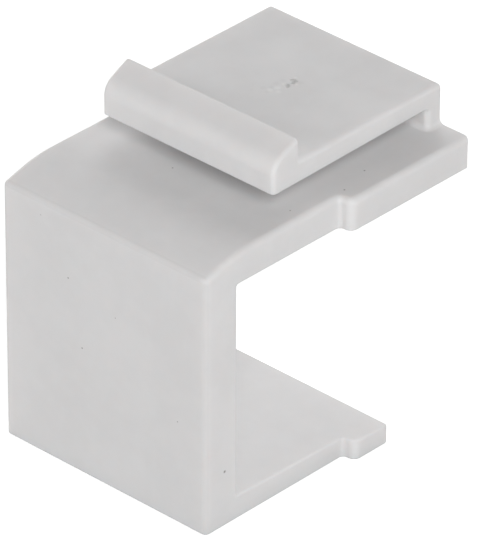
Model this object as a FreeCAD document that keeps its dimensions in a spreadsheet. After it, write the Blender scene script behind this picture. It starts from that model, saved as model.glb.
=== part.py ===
# Keystone blank insert: one C-shaped moulding that closes an unused port of a faceplate.
#
# A flat face closes the port. Two arms run back from its top and its bottom edge, and each widens
# into shoulders that stop behind the panel. A post at the end of the upper arm carries a springy
# latch plate, which reaches forward over the arm and ends in a wedge. The wedge's ramp rides under
# the port's upper edge, and its upright back snaps over it.
#
# Millimetres, +Z up. The face looks along -Y and the arms run towards +Y. The origin is under the
# middle of the moulding, on the plane that the lower arm stands on.
import FreeCAD
import Part
import Sketcher
import math
import os
import re

from FreeCAD import Vector

NEAR = 1e-4

# Formulas that several features share
HALF_SPAN = "face_width / 2 + shoulder_step"
UNDERSIDE = "body_height - upper_arm_thickness"
POST_FRONT = "upper_arm_reach - post_thickness"
PLATE_TOP = "body_height + latch_height"
WEDGE_FRONT = "catch_setback - wedge_length"
WEDGE_NOSE = "body_height + latch_height + catch_height - wedge_rise"
UPPER_STEP = "upper_arm_reach - upper_shoulder_length"
LOWER_STEP = "lower_arm_reach - lower_shoulder_length"
LOWER_TAPER = "(lower_arm_thickness - lower_tip_thickness) / (lower_arm_reach - face_thickness)"
LOWER_STEP_WALL = f"lower_tip_thickness + lower_shoulder_length * {LOWER_TAPER}"

# Driving dimensions: name, size in millimetres, meaning
SIZES = [
    ("face_width", 14.5, "width of the face and of the arms' front stretch"),
    ("body_height", 16.17, "underside of the lower arm to the top of the upper arm"),
    ("face_thickness", 2.33, "front to back of the face"),
    ("nose_drop", 0.64, "how much lower the face's top edge lies than the upper arm"),
    ("nose_length", 2.4, "length of the lead-in ramp over the face's top edge"),
    ("nose_blend", 8.0, "radius between the lead-in ramp and the upper arm"),
    ("lower_arm_thickness", 1.46, "wall of the lower arm where it leaves the face"),
    ("lower_tip_thickness", 1.16, "wall of the lower arm at its end"),
    ("lower_arm_reach", 13.13, "front of the face to the lower arm's end"),
    ("upper_arm_thickness", 1.92, "wall of the upper arm"),
    ("upper_arm_reach", 19.12, "front of the face to the upper arm's end"),
    ("shoulder_step", 0.81, "how far each shoulder stands out from the arm's side"),
    ("upper_shoulder_length", 9.07, "length of the upper arm's shoulders, up to its end"),
    ("lower_shoulder_length", 2.61, "length of the lower arm's shoulders, up to its end"),
    ("shoulder_foot_round", 0.25, "radius in the hollow corner before a shoulder"),
    ("shoulder_round", 0.5, "radius of a shoulder's own corner"),
    ("post_thickness", 1.05, "front to back of the latch's post"),
    ("latch_height", 2.47, "top of the upper arm to the top of the latch plate"),
    ("latch_width", 12.16, "width of the post, the latch plate and the wedge"),
    ("slot_rear_height", 1.37, "gap under the latch plate at its post"),
    ("slot_front_height", 1.2, "gap under the latch plate at its wedge"),
    ("slot_round", 0.3, "radius of the corners at the closed end of the slot"),
    ("catch_setback", 8.15, "front of the face to the wedge's upright back"),
    ("catch_height", 1.4, "height of the wedge's back over the latch plate"),
    ("wedge_length", 1.89, "front to back of the wedge"),
    ("wedge_rise", 0.93, "height that the wedge's ramp climbs"),
    ("wedge_blend", 1.1, "radius between the wedge's front and its ramp"),
    ("wedge_edge_round", 0.25, "radius of the wedge's side edges"),
    ("corner_fillet", 0.15, "radius in the corners between the face and the arms"),
    ("face_edge_round", 0.3, "radius of the face's upright front edges"),
    ("inner_edge_round", 0.13, "radius of the side edges inside the C"),
    ("top_edge_round", 0.35, "radius along the upper arm's top side edges"),
    ("plate_edge_round", 0.3, "radius along the latch plate's top side edges"),
    ("upper_rear_round", 0.15, "radius of the upper arm's upright rear corners"),
    ("lower_rear_round", 0.2, "radius of the lower arm's upright rear corners"),
    ("post_rear_round", 0.15, "radius of the post's upright rear corners"),
    ("post_edge_round", 0.3, "radius of the post's upright front edges"),
    ("small_round", 0.12, "radius of the small broken edges"),
]


def driving_dimensions(doc):
    """Put the sizes in a spreadsheet, one alias for each, and return the sheet."""
    sheet = doc.addObject("Spreadsheet::Sheet", "Dimensions")
    for row, (alias, size, meaning) in enumerate(SIZES, start=1):
        sheet.set(f"A{row}", alias)
        sheet.set(f"B{row}", str(size))
        sheet.set(f"C{row}", meaning)
        sheet.setAlias(f"B{row}", alias)
    doc.recompute()
    return sheet


def formula(text):
    """Write the sheet's name before each of its aliases in a formula."""
    return re.sub(r"[a-z_]{3,}", lambda word: f"Dimensions.{word.group()}", text)


def value(sheet, text):
    """The number that a formula of aliases gives."""
    return float(sheet.evalExpression(formula(text)))


def origin_plane(body, role):
    """One of the body's own origin planes, such as XY_Plane."""
    return next(item for item in body.Origin.OriginFeatures if item.Role == role)


def tie_corners(sketch, corners, axis):
    """Fix the corners along one sketch axis: one dimension for each run that shares a formula."""
    straight = ("Vertical", "Horizontal")[axis]
    distance = ("DistanceX", "DistanceY")[axis]
    count = len(corners)
    for index in range(count):
        here = corners[index][axis]
        after = corners[(index + 1) % count][axis]
        if here == after:
            sketch.addConstraint(Sketcher.Constraint(straight, index))
        else:
            far = (index + 1) % count
            size = value(sketch.Document.Dimensions, after)
            row = sketch.addConstraint(Sketcher.Constraint(distance, -1, 1, far, 1, size))
            sketch.setExpression(f"Constraints[{row}]", formula(after))


def outline(body, name, role, corners, height="0"):
    """A closed sketch of straight lines whose corners are pairs of formulas.

    The sketch lies on an origin plane of the body, raised along the plane's normal by height.
    """
    doc = body.Document
    sketch = body.newObject("Sketcher::SketchObject", name)
    sketch.AttachmentSupport = (origin_plane(body, role), [""])
    sketch.MapMode = "FlatFace"
    sketch.setExpression("AttachmentOffset.Base.z", formula(height))
    doc.recompute()
    places = [Vector(*[value(doc.Dimensions, text) for text in corner], 0) for corner in corners]
    count = len(places)
    for index in range(count):
        sketch.addGeometry(Part.LineSegment(places[index], places[(index + 1) % count]), False)
    for index in range(count):
        sketch.addConstraint(Sketcher.Constraint("Coincident", index, 2, (index + 1) % count, 1))
    tie_corners(sketch, corners, 0)
    tie_corners(sketch, corners, 1)
    doc.recompute()
    sketch.Visibility = False
    return sketch


def pad(body, sketch, name, length, both_ways=False):
    """Add the sketch's outline to the body, to a length given by a formula."""
    feature = body.newObject("PartDesign::Pad", name)
    feature.Profile = sketch
    feature.setExpression("Length", formula(length))
    feature.Midplane = both_ways
    body.Document.recompute()
    return feature


def round_edges(body, name, radius, wanted):
    """Fillet the edges of the body's last feature whose middle point and edge satisfy wanted."""
    base = body.Tip
    names = []
    for number, edge in enumerate(base.Shape.Edges, start=1):
        middle = edge.valueAt((edge.FirstParameter + edge.LastParameter) / 2)
        if wanted(middle, edge):
            names.append(f"Edge{number}")
    feature = body.newObject("PartDesign::Fillet", name)
    feature.Base = (base, names)
    feature.setExpression("Radius", formula(radius))
    body.Document.recompute()
    return feature


def near(number, target):
    return abs(number - target) < NEAR


def at_any(number, targets):
    return any(near(number, target) for target in targets)


def runs_along(edge, axis):
    """True for a straight edge that runs along the axis X, Y or Z, given as 0, 1 or 2."""
    if edge.Degenerated or edge.Curve.TypeId != "Part::GeomLine":
        return False
    return abs(edge.tangentAt(edge.FirstParameter)[axis]) > 1 - NEAR


def face_and_arms(body):
    """The C-shaped side profile at the face's width."""
    side = outline(body, "SideProfile", "YZ_Plane", [
        ("0", "0"),
        ("lower_arm_reach", "0"),
        ("lower_arm_reach", "lower_tip_thickness"),
        ("face_thickness", "lower_arm_thickness"),
        ("face_thickness", UNDERSIDE),
        ("upper_arm_reach", UNDERSIDE),
        ("upper_arm_reach", "body_height"),
        ("nose_length", "body_height"),
        ("0", "body_height - nose_drop"),
    ])
    pad(body, side, "FaceAndArms", "face_width", both_ways=True)


def shoulders(body, arm, profile):
    """The wider rear stretch of one arm, from its shoulders to its end."""
    side = outline(body, f"{arm}ShoulderProfile", "YZ_Plane", profile)
    pad(body, side, f"{arm}Shoulders", f"2 * ({HALF_SPAN})", both_ways=True)


def round_frame(body, sheet):
    """Fillet the nose, the steps of the shoulders and the edges of the face and the arms."""
    half_face = value(sheet, "face_width / 2")
    half_span = value(sheet, HALF_SPAN)
    steps = [value(sheet, LOWER_STEP), value(sheet, UPPER_STEP)]
    lower_end = value(sheet, "lower_arm_reach")
    inside = value(sheet, "face_thickness")
    top = value(sheet, "body_height")
    nose_end = value(sheet, "nose_length")

    round_edges(body, "NoseBlend", "nose_blend", lambda middle, edge: (
        runs_along(edge, 0) and near(middle.z, top) and near(middle.y, nose_end)))
    round_edges(body, "InsideCorners", "corner_fillet", lambda middle, edge: (
        runs_along(edge, 0) and near(middle.y, inside)))
    round_edges(body, "ShoulderFeet", "shoulder_foot_round", lambda middle, edge: (
        runs_along(edge, 2) and near(abs(middle.x), half_face) and at_any(middle.y, steps)))
    round_edges(body, "ShoulderCorners", "shoulder_round", lambda middle, edge: (
        runs_along(edge, 2) and near(abs(middle.x), half_span) and at_any(middle.y, steps)))
    round_edges(body, "LowerRearCorners", "lower_rear_round", lambda middle, edge: (
        runs_along(edge, 2) and near(abs(middle.x), half_span) and near(middle.y, lower_end)))
    round_edges(body, "TopEdges", "top_edge_round", lambda middle, edge: (
        runs_along(edge, 1) and near(abs(middle.x), half_span) and near(middle.z, top)))
    round_edges(body, "FaceEdges", "face_edge_round", lambda middle, edge: (
        runs_along(edge, 2) and near(abs(middle.x), half_face) and near(middle.y, 0)))
    round_edges(body, "BottomEdges", "small_round", lambda middle, edge: (
        runs_along(edge, 1) and near(abs(middle.x), half_span) and near(middle.z, 0)))
    round_edges(body, "InnerEdges", "inner_edge_round", lambda middle, edge: (
        runs_along(edge, 2) and near(abs(middle.x), half_face) and near(middle.y, inside)))


def latch(body):
    """The post, the latch plate and the wedge on its free end."""
    side = outline(body, "LatchProfile", "YZ_Plane", [
        ("upper_arm_reach", "body_height"),
        (POST_FRONT, "body_height"),
        (POST_FRONT, "body_height + slot_rear_height"),
        (WEDGE_FRONT, "body_height + slot_front_height"),
        (WEDGE_FRONT, WEDGE_NOSE),
        ("catch_setback", f"{PLATE_TOP} + catch_height"),
        ("catch_setback", PLATE_TOP),
        ("upper_arm_reach", PLATE_TOP),
    ])
    pad(body, side, "Latch", "latch_width", both_ways=True)


def cut_upwards(body, sketch, name):
    """Cut the sketch's outline out of everything above its plane."""
    feature = body.newObject("PartDesign::Pocket", name)
    feature.Profile = sketch
    feature.Type = "ThroughAll"
    feature.Reversed = True
    body.Document.recompute()
    return feature


def rear_corner(body, name, corner_x, radius, level):
    """Round one upright rear corner on the right, from a level up, by cutting away what is outside."""
    doc = body.Document
    sketch = body.newObject("Sketcher::SketchObject", f"{name}Plan")
    sketch.AttachmentSupport = (origin_plane(body, "XY_Plane"), [""])
    sketch.MapMode = "FlatFace"
    sketch.setExpression("AttachmentOffset.Base.z", formula(level))
    across = value(doc.Dimensions, corner_x)
    back = value(doc.Dimensions, "upper_arm_reach")
    turn = value(doc.Dimensions, radius)
    corner = Vector(across, back, 0)
    side_end = Vector(across, back - turn, 0)
    rear_end = Vector(across - turn, back, 0)
    centre = Vector(across - turn, back - turn, 0)
    circle = Part.Circle(centre, Vector(0, 0, 1), turn)
    sketch.addGeometry(Part.LineSegment(rear_end, corner), False)
    sketch.addGeometry(Part.LineSegment(corner, side_end), False)
    sketch.addGeometry(Part.ArcOfCircle(circle, 0, math.pi / 2), False)
    sketch.addConstraint(Sketcher.Constraint("Horizontal", 0))
    sketch.addConstraint(Sketcher.Constraint("Vertical", 1))
    sketch.addConstraint(Sketcher.Constraint("Coincident", 0, 2, 1, 1))
    sketch.addConstraint(Sketcher.Constraint("Tangent", 1, 2, 2, 1))
    sketch.addConstraint(Sketcher.Constraint("Tangent", 2, 2, 0, 1))
    for kind, size, text in (("DistanceX", across, corner_x), ("DistanceY", back, "upper_arm_reach")):
        row = sketch.addConstraint(Sketcher.Constraint(kind, -1, 1, 0, 2, size))
        sketch.setExpression(f"Constraints[{row}]", formula(text))
    row = sketch.addConstraint(Sketcher.Constraint("Radius", 2, turn))
    sketch.setExpression(f"Constraints[{row}]", formula(radius))
    doc.recompute()
    return cut_upwards(body, sketch, name)


def mirror_cuts(body, cuts):
    """Repeat the cuts of the right side on the left."""
    doc = body.Document
    feature = body.newObject("PartDesign::Mirrored", "LeftSideCuts")
    feature.Originals = cuts
    feature.MirrorPlane = (origin_plane(body, "YZ_Plane"), [""])
    body.Tip = feature
    doc.recompute()


def round_latch(body, sheet):
    """Fillet the slot's closed end, the post's corners, the wedge and the latch plate's edges."""
    top = value(sheet, "body_height")
    plate_top = value(sheet, PLATE_TOP)
    side = value(sheet, "latch_width / 2")
    post_front = value(sheet, POST_FRONT)
    wedge_front = value(sheet, WEDGE_FRONT)
    wedge_nose = value(sheet, WEDGE_NOSE)
    catch = value(sheet, "catch_setback")
    ridge = value(sheet, f"{PLATE_TOP} + catch_height")

    round_edges(body, "WedgeBlend", "wedge_blend", lambda middle, edge: (
        runs_along(edge, 0) and near(middle.y, wedge_front) and near(middle.z, wedge_nose)))
    round_edges(body, "PostEdges", "post_edge_round", lambda middle, edge: (
        runs_along(edge, 2) and near(middle.y, post_front) and middle.z > top))
    round_edges(body, "SlotCorners", "slot_round", lambda middle, edge: (
        runs_along(edge, 0) and near(middle.y, post_front) and middle.z > top - NEAR))
    round_edges(body, "PlateEdges", "plate_edge_round", lambda middle, edge: (
        runs_along(edge, 1) and near(abs(middle.x), side) and near(middle.z, plate_top)))
    round_edges(body, "WedgeEdges", "wedge_edge_round", lambda middle, edge: (
        runs_along(edge, 2) and near(middle.y, wedge_front)))
    round_edges(body, "Ridge", "small_round", lambda middle, edge: (
        runs_along(edge, 0) and near(middle.y, catch) and near(middle.z, ridge)))


def raise_on_failure(doc):
    """Stop if any object failed to build or the moulding is not one valid solid."""
    for item in doc.Objects:
        if "Invalid" in item.State or "Error" in item.State:
            raise RuntimeError(f"{item.Name} failed: {item.State}")
    for body in doc.findObjects("PartDesign::Body"):
        shape = body.Shape
        if shape.isNull() or not shape.isValid() or len(shape.Solids) != 1:
            raise RuntimeError(f"{body.Label} is not one valid solid")


def main():
    doc = FreeCAD.newDocument("KeystoneBlank")
    sheet = driving_dimensions(doc)
    body = doc.addObject("PartDesign::Body", "BlankInsert")
    body.Label = "blank_insert"
    face_and_arms(body)
    shoulders(body, "Lower", [
        (LOWER_STEP, "0"),
        ("lower_arm_reach", "0"),
        ("lower_arm_reach", "lower_tip_thickness"),
        (LOWER_STEP, LOWER_STEP_WALL),
    ])
    shoulders(body, "Upper", [
        (UPPER_STEP, UNDERSIDE),
        ("upper_arm_reach", UNDERSIDE),
        ("upper_arm_reach", "body_height"),
        (UPPER_STEP, "body_height"),
    ])
    round_frame(body, sheet)
    latch(body)
    cuts = [
        rear_corner(body, "PostCorner", "latch_width / 2", "post_rear_round", "body_height"),
        rear_corner(body, "ArmCorner", HALF_SPAN, "upper_rear_round", UNDERSIDE),
    ]
    mirror_cuts(body, cuts)
    round_latch(body, sheet)
    body.setExpression("Placement.Base.y", formula("upper_arm_reach / -2"))
    doc.recompute()
    raise_on_failure(doc)

    os.makedirs("parts", exist_ok=True)
    body.Shape.exportStep(f"parts/{body.Label}.step")
    print(f"{body.Label}: {body.Shape.Volume:.1f} cubic mm")


main()
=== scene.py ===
import math

import bpy
from mathutils import Matrix, Vector

MM = 0.001

# Camera: its lens, and its place as seen from a point on the object
IMAGE_LONG_SIDE = 543
SENSOR = 36.0
FOCAL_PIXELS = 7288.5
CLIP_START = 0.01
CLIP_END = 10.0
CAMERA_AZIMUTH = math.radians(43.040)
CAMERA_ELEVATION = math.radians(31.643)
CAMERA_ROLL = math.radians(0.197)
CAMERA_DISTANCE = 381.14 * MM
CAMERA_AIM = Vector((0.0, -2.56 * MM, 8.0 * MM))
# How far the camera stands to the right of that point and above it, in its own picture
AIM_RIGHT = 2.252 * MM
AIM_UP = 1.642 * MM

# Light and floor
WORLD_LIGHT = 0.03
FLOOR_COLOUR = (0.68, 0.68, 0.68)
FLOOR_GLOW = 0.64
FLOOR_RADIUS = 300 * MM
FLOOR_SIDES = 96
# Just under the object, so that the two never lie in one plane
FLOOR_HEIGHT = -0.01 * MM
LAMP_DISTANCE = 320 * MM
LAMP_DIAMETER = 240 * MM
LAMPS = [
    # name, azimuth and elevation in degrees, watts
    ("key", 60, 33, 0.85),
    ("front_left", 20, 10, 0.15),
    ("right", 172, 12, 0.28),
    ("rear", 223, 27, 0.45),
    ("left", 270, 8, 0.36),
    ("low_left", 315, 7, 0.36),
]

# Tone of the plastic, between two colours in linear light: noise per metre, and each noise's share
WHITE = (0.706, 0.699, 0.700)
GREY = (0.680, 0.673, 0.674)
CLOUD_SCALE = 170.0
CLOUD_SHARE = 0.65
MOTTLE_SCALE = 900.0
MOTTLE_SHARE = 0.35
ALL_GREY = 0.36
ALL_WHITE = 0.64

# The sides and top of the face, where the thin rounded edge is painted a little darker: painted
# shade that dims the highlight the lamps put on that edge
FACE_HALF_WIDTH = 7.25 * MM
FACE_TOP = 15.53 * MM
FACE_PLANE = -9.56 * MM
EDGE_WIDTH = 0.30 * MM
EDGE_FADE = 0.15 * MM
EDGE_SHADE_COLOUR = (0.50, 0.49, 0.49)
EDGE_SHADE_AMOUNT = 0.28

# Dark specks in the plastic, at the places seen
PLATE_TOP = 18.64 * MM
ARM_TOP = 16.17 * MM
SPECK_COLOUR = (0.16, 0.15, 0.14)
SPECK_AMOUNT = 0.85
SPECKS = [
    # place and radius
    ((-0.97 * MM, -3.36 * MM, ARM_TOP), 0.045 * MM),
    ((6.34 * MM, -2.31 * MM, ARM_TOP), 0.040 * MM),
    ((6.97 * MM, 1.12 * MM, ARM_TOP), 0.050 * MM),
    ((6.42 * MM, 3.26 * MM, ARM_TOP), 0.050 * MM),
    ((7.25 * MM, -8.14 * MM, 3.37 * MM), 0.080 * MM),
    ((-2.53 * MM, FACE_PLANE, 11.60 * MM), 0.048 * MM),
    ((-1.57 * MM, FACE_PLANE, 7.73 * MM), 0.048 * MM),
    ((0.84 * MM, FACE_PLANE, 10.60 * MM), 0.032 * MM),
    ((5.25 * MM, FACE_PLANE, 6.21 * MM), 0.036 * MM),
    ((-4.47 * MM, FACE_PLANE, 14.60 * MM), 0.026 * MM),
]
# A mark is whole inside the first of these shares of its radius, and gone outside the second
MARK_CORE = 0.2
MARK_RIM = 1.5

# The gate's scar on the latch plate: its place and directions, and the marks in it, each given
# by its place across and along the scar and by its radius, in millimetres
GATE = Vector((0.500 * MM, 3.804 * MM, PLATE_TOP))
GATE_ACROSS = Vector((0.731, 0.682, 0.0))
GATE_ALONG = Vector((-0.682, 0.731, 0.0))
PITS = [
    (0.00, 0.00, 0.115), (0.01, 0.13, 0.085), (-0.01, -0.12, 0.085),
    (0.20, 0.60, 0.080), (0.28, 0.60, 0.085), (0.36, 0.57, 0.095),
    (0.43, 0.48, 0.095), (0.34, 0.42, 0.100), (0.27, 0.26, 0.100),
]
PIT_AMOUNT = 0.34
PIT_DEPTH = 0.05 * MM
BURRS = [
    (-0.92, -0.45, 0.17), (-0.56, -0.23, 0.18), (-0.52, -0.62, 0.15),
    (-0.23, 0.16, 0.12), (0.42, 0.12, 0.11), (0.37, 0.86, 0.10),
]
BURR_COLOUR = (0.82, 0.82, 0.81)
BURR_AMOUNT = 0.45
BURR_HEIGHT = 0.02 * MM
SMUDGES = [
    (-0.86, -0.15, 0.15), (-0.26, 0.52, 0.18), (-0.60, 0.23, 0.22),
    (-1.30, -0.21, 0.17), (-1.09, -0.61, 0.13), (0.66, 0.34, 0.16),
]
SMUDGE_COLOUR = (0.52, 0.51, 0.51)
SMUDGE_AMOUNT = 0.16

# Relief of the moulded faces: noise per metre, and the height of each noise
GRAIN_SCALE = 9000.0
GRAIN_HEIGHT = 0.0012 * MM
WAVE_SCALE = 330.0
WAVE_HEIGHT = 0.030 * MM
SCRATCH_SCALE = (12000, 900, 12000)
SCRATCH_HEIGHT = 0.0010 * MM

# Gloss of the plastic, and how far light goes into it
SHEEN_SCALE = 420.0
SHEEN_LOW = 0.3
SHEEN_HIGH = 0.7
SMOOTHEST = 0.62
ROUGHEST = 0.78
REFRACTION = 1.49
SPECULAR_LEVEL = 0.2
DEPTH_WEIGHT = 0.35
DEPTH_RADIUS = (1.0, 0.80, 0.72)
DEPTH_SCALE = 1.5 * MM


def away_from(azimuth, elevation):
    """The direction from the object to a place at that azimuth and elevation."""
    return Vector((
        math.sin(azimuth) * math.cos(elevation),
        -math.cos(azimuth) * math.cos(elevation),
        math.sin(elevation),
    ))


def add_to_scene(thing):
    bpy.context.scene.collection.objects.link(thing)


def make_camera():
    """The photograph's view of the object."""
    back = away_from(CAMERA_AZIMUTH, CAMERA_ELEVATION)
    level = Vector((math.cos(CAMERA_AZIMUTH), math.sin(CAMERA_AZIMUTH), 0.0))
    rise = back.cross(level)
    right = math.cos(CAMERA_ROLL) * level + math.sin(CAMERA_ROLL) * rise
    up = math.cos(CAMERA_ROLL) * rise - math.sin(CAMERA_ROLL) * level
    data = bpy.data.cameras.new("camera")
    data.sensor_width = SENSOR
    data.lens = FOCAL_PIXELS * SENSOR / IMAGE_LONG_SIDE
    data.clip_start = CLIP_START
    data.clip_end = CLIP_END
    camera = bpy.data.objects.new("camera", data)
    place = CAMERA_AIM + right * AIM_RIGHT + up * AIM_UP + back * CAMERA_DISTANCE
    turn = Matrix((right, up, back)).transposed()
    camera.matrix_world = Matrix.Translation(place) @ turn.to_4x4()
    add_to_scene(camera)
    bpy.context.scene.camera = camera


class Nodes:
    """A short way to add the nodes of one shader tree and to join them."""

    def __init__(self, tree):
        self.tree = tree
        tree.nodes.clear()

    def add(self, kind, **settings):
        node = self.tree.nodes.new(kind)
        for name, value in settings.items():
            setattr(node, name, value)
        return node

    def join(self, source, target):
        self.tree.links.new(source, target)

    def feed(self, socket, value):
        """Give a socket a number or a colour, or the output of another node."""
        if isinstance(value, bpy.types.NodeSocket):
            self.join(value, socket)
        elif isinstance(value, tuple):
            socket.default_value = (*value, 1.0)
        else:
            socket.default_value = value

    def math(self, operation, first, second=0.0):
        node = self.add("ShaderNodeMath", operation=operation)
        self.feed(node.inputs[0], first)
        self.feed(node.inputs[1], second)
        return node.outputs[0]

    def distance(self, place, point):
        node = self.add("ShaderNodeVectorMath", operation="DISTANCE")
        self.join(place, node.inputs[0])
        node.inputs[1].default_value = point
        return node.outputs["Value"]

    def parts(self, place):
        node = self.add("ShaderNodeSeparateXYZ")
        self.join(place, node.inputs[0])
        return node.outputs

    def spots(self, place, marks):
        """One inside soft round marks, each a point and a radius, and zero outside them."""
        seen = None
        for point, radius in marks:
            away = self.distance(place, point)
            near = self.fade(away, radius * MARK_CORE, radius * MARK_RIM, 1.0, 0.0)
            seen = near if seen is None else self.math("MAXIMUM", seen, near)
        return seen

    def stretch(self, place, scale):
        node = self.add("ShaderNodeMapping")
        self.join(place, node.inputs["Vector"])
        node.inputs["Scale"].default_value = scale
        return node.outputs["Vector"]

    def noise(self, place, scale, detail=2.0, roughness=0.5):
        node = self.add("ShaderNodeTexNoise")
        self.join(place, node.inputs["Vector"])
        node.inputs["Scale"].default_value = scale
        node.inputs["Detail"].default_value = detail
        node.inputs["Roughness"].default_value = roughness
        return node.outputs["Fac"]

    def fade(self, value, start, end, low=0.0, high=1.0):
        """A smooth step from low to high as the value goes from start to end."""
        node = self.add("ShaderNodeMapRange", interpolation_type="SMOOTHSTEP")
        self.join(value, node.inputs["Value"])
        node.inputs["From Min"].default_value = start
        node.inputs["From Max"].default_value = end
        node.inputs["To Min"].default_value = low
        node.inputs["To Max"].default_value = high
        return node.outputs["Result"]

    def blend(self, amount, first, second):
        node = self.add("ShaderNodeMix", data_type="RGBA")
        self.feed(node.inputs["Factor"], amount)
        self.feed(node.inputs["A"], first)
        self.feed(node.inputs["B"], second)
        return node.outputs["Result"]

    def tint(self, colour, mask, amount, other):
        """The colour, with an amount of another where the mask is one."""
        return self.blend(self.math("MULTIPLY", mask, amount), colour, other)

    def total(self, terms):
        """The sum of outputs, each times its number."""
        total = 0.0
        for value, factor in terms:
            total = self.math("ADD", total, self.math("MULTIPLY", value, factor))
        return total


def ground_is_seen(nodes):
    """One where the camera, a reflection or a clear material sees the ground, or else zero."""
    path = nodes.add("ShaderNodeLightPath")
    seen = nodes.math("MAXIMUM", path.outputs["Is Camera Ray"], path.outputs["Is Glossy Ray"])
    return nodes.math("MAXIMUM", seen, path.outputs["Is Transmission Ray"])


def make_world():
    """An even faint light all round, and a white ground behind the object."""
    world = bpy.data.worlds.new("studio")
    bpy.context.scene.world = world
    world.use_nodes = True
    nodes = Nodes(world.node_tree)
    light = nodes.add("ShaderNodeBackground")
    light.inputs["Color"].default_value = (1, 1, 1, 1)
    light.inputs["Strength"].default_value = WORLD_LIGHT
    white = nodes.add("ShaderNodeBackground")
    white.inputs["Color"].default_value = (1, 1, 1, 1)
    white.inputs["Strength"].default_value = 1.0
    mix = nodes.add("ShaderNodeMixShader")
    out = nodes.add("ShaderNodeOutputWorld")
    nodes.join(ground_is_seen(nodes), mix.inputs["Fac"])
    nodes.join(light.outputs[0], mix.inputs[1])
    nodes.join(white.outputs[0], mix.inputs[2])
    nodes.join(mix.outputs[0], out.inputs["Surface"])


def make_lamps():
    """Large soft round lamps that look at the object."""
    for name, azimuth, elevation, watts in LAMPS:
        data = bpy.data.lights.new(name, "AREA")
        data.shape = "DISK"
        data.size = LAMP_DIAMETER
        data.energy = watts
        lamp = bpy.data.objects.new(name, data)
        back = away_from(math.radians(azimuth), math.radians(elevation))
        lamp.location = CAMERA_AIM + back * LAMP_DISTANCE
        lamp.rotation_mode = "QUATERNION"
        lamp.rotation_quaternion = back.to_track_quat("Z", "Y")
        add_to_scene(lamp)


def make_floor():
    """A plain round floor that shows the object's soft shadow and is white to the camera."""
    mesh = bpy.data.meshes.new("floor")
    turns = [math.tau * step / FLOOR_SIDES for step in range(FLOOR_SIDES)]
    rim = [(FLOOR_RADIUS * math.cos(turn), FLOOR_RADIUS * math.sin(turn), FLOOR_HEIGHT)
           for turn in turns]
    mesh.from_pydata(rim, [], [tuple(range(FLOOR_SIDES))])
    floor = bpy.data.objects.new("floor", mesh)
    add_to_scene(floor)
    material = bpy.data.materials.new("floor")
    material.use_nodes = True
    nodes = Nodes(material.node_tree)
    paper = nodes.add("ShaderNodeBsdfDiffuse")
    paper.inputs["Color"].default_value = (*FLOOR_COLOUR, 1)
    glow = nodes.add("ShaderNodeEmission")
    strength = nodes.math("MULTIPLY", ground_is_seen(nodes), FLOOR_GLOW)
    nodes.join(strength, glow.inputs["Strength"])
    both = nodes.add("ShaderNodeAddShader")
    out = nodes.add("ShaderNodeOutputMaterial")
    nodes.join(paper.outputs[0], both.inputs[0])
    nodes.join(glow.outputs[0], both.inputs[1])
    nodes.join(both.outputs[0], out.inputs["Surface"])
    mesh.materials.append(material)


def gate_marks(marks):
    """The places and radii, in metres, of marks in the gate's scar."""
    return [(GATE + (GATE_ACROSS * across + GATE_ALONG * along) * MM, radius * MM)
            for across, along, radius in marks]


def face_edge_shade(nodes, place):
    """One where shade is painted on the rounded edge at the sides and top of the face to dim its
    highlight, and zero away from it.
    """
    x, y, z = nodes.parts(place)
    across = nodes.math("SUBTRACT", nodes.math("ABSOLUTE", x), FACE_HALF_WIDTH - EDGE_WIDTH)
    above = nodes.math("SUBTRACT", z, FACE_TOP - EDGE_WIDTH)
    before = nodes.math("SUBTRACT", FACE_PLANE + EDGE_WIDTH, y)
    inside = nodes.math("MINIMUM", nodes.math("MAXIMUM", across, above), before)
    return nodes.fade(inside, 0.0, EDGE_FADE)


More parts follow.
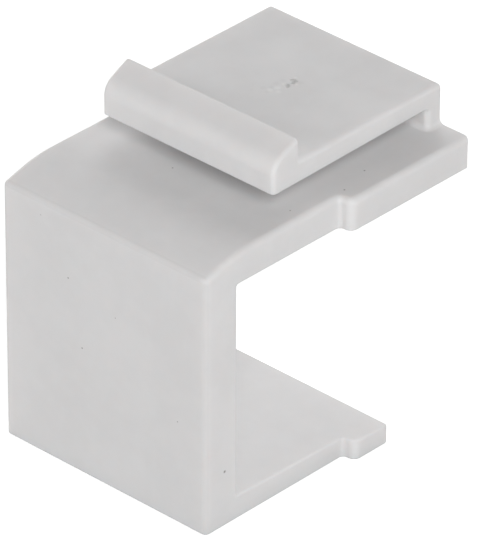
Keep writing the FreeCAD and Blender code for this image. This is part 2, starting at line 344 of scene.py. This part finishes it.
def plastic_material():
    """White moulded plastic with clouding, satin grain, specks, the scar of the gate, and painted
    shade on the rounded edge of the face.
    """
    material = bpy.data.materials.new("moulded_plastic")
    material.use_nodes = True
    nodes = Nodes(material.node_tree)
    place = nodes.add("ShaderNodeTexCoord").outputs["Object"]

    # Clouding of the plastic, a few millimetres wide, and finer mottle in it
    cloud = nodes.noise(place, CLOUD_SCALE, detail=3.0, roughness=0.55)
    mottle = nodes.noise(place, MOTTLE_SCALE, detail=3.0)
    tone = nodes.total([(mottle, MOTTLE_SHARE), (cloud, CLOUD_SHARE)])
    colour = nodes.blend(nodes.fade(tone, ALL_GREY, ALL_WHITE), GREY, WHITE)

    # Painted shade on the edge of the face, then the gate's scar and the specks, each over the one
    # before it
    pits = nodes.spots(place, gate_marks(PITS))
    burrs = nodes.spots(place, gate_marks(BURRS))
    smudges = nodes.spots(place, gate_marks(SMUDGES))
    # Painted shade on the face's rounded edge, which dims the highlight there
    colour = nodes.tint(colour, face_edge_shade(nodes, place), EDGE_SHADE_AMOUNT, EDGE_SHADE_COLOUR)
    colour = nodes.tint(colour, smudges, SMUDGE_AMOUNT, SMUDGE_COLOUR)
    colour = nodes.tint(colour, burrs, BURR_AMOUNT, BURR_COLOUR)
    colour = nodes.tint(colour, pits, PIT_AMOUNT, SPECK_COLOUR)
    colour = nodes.tint(colour, nodes.spots(place, SPECKS), SPECK_AMOUNT, SPECK_COLOUR)

    # Satin grain, slow waviness of the moulded faces, fine scratches from handling, and the scar
    bump = nodes.add("ShaderNodeBump")
    bump.inputs["Strength"].default_value = 1.0
    bump.inputs["Distance"].default_value = 1.0
    height = nodes.total([
        (nodes.noise(place, GRAIN_SCALE), GRAIN_HEIGHT),
        (nodes.noise(place, WAVE_SCALE, detail=1.0), WAVE_HEIGHT),
        (nodes.noise(nodes.stretch(place, SCRATCH_SCALE), 1.0), SCRATCH_HEIGHT),
        (pits, -PIT_DEPTH),
        (burrs, BURR_HEIGHT),
    ])
    nodes.join(height, bump.inputs["Height"])

    sheen = nodes.noise(place, SHEEN_SCALE, detail=4.0)
    rough = nodes.fade(sheen, SHEEN_LOW, SHEEN_HIGH, SMOOTHEST, ROUGHEST)
    shader = nodes.add("ShaderNodeBsdfPrincipled")
    shader.inputs["IOR"].default_value = REFRACTION
    shader.inputs["Specular IOR Level"].default_value = SPECULAR_LEVEL
    shader.inputs["Subsurface Weight"].default_value = DEPTH_WEIGHT
    shader.inputs["Subsurface Radius"].default_value = DEPTH_RADIUS
    shader.inputs["Subsurface Scale"].default_value = DEPTH_SCALE
    out = nodes.add("ShaderNodeOutputMaterial")
    nodes.join(colour, shader.inputs["Base Color"])
    nodes.join(rough, shader.inputs["Roughness"])
    nodes.join(bump.outputs["Normal"], shader.inputs["Normal"])
    nodes.join(shader.outputs[0], out.inputs["Surface"])
    return material


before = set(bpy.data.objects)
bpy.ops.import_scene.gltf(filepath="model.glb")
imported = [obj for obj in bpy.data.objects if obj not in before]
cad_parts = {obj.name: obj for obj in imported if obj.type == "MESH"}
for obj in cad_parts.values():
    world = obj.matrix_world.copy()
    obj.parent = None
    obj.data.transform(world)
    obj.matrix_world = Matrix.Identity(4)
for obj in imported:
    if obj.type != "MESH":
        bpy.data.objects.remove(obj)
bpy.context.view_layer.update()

bpy.context.scene.view_settings.view_transform = "Standard"
make_camera()
make_world()
make_lamps()
make_floor()

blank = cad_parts["blank_insert"]
blank.data.materials.clear()
blank.data.materials.append(plastic_material())
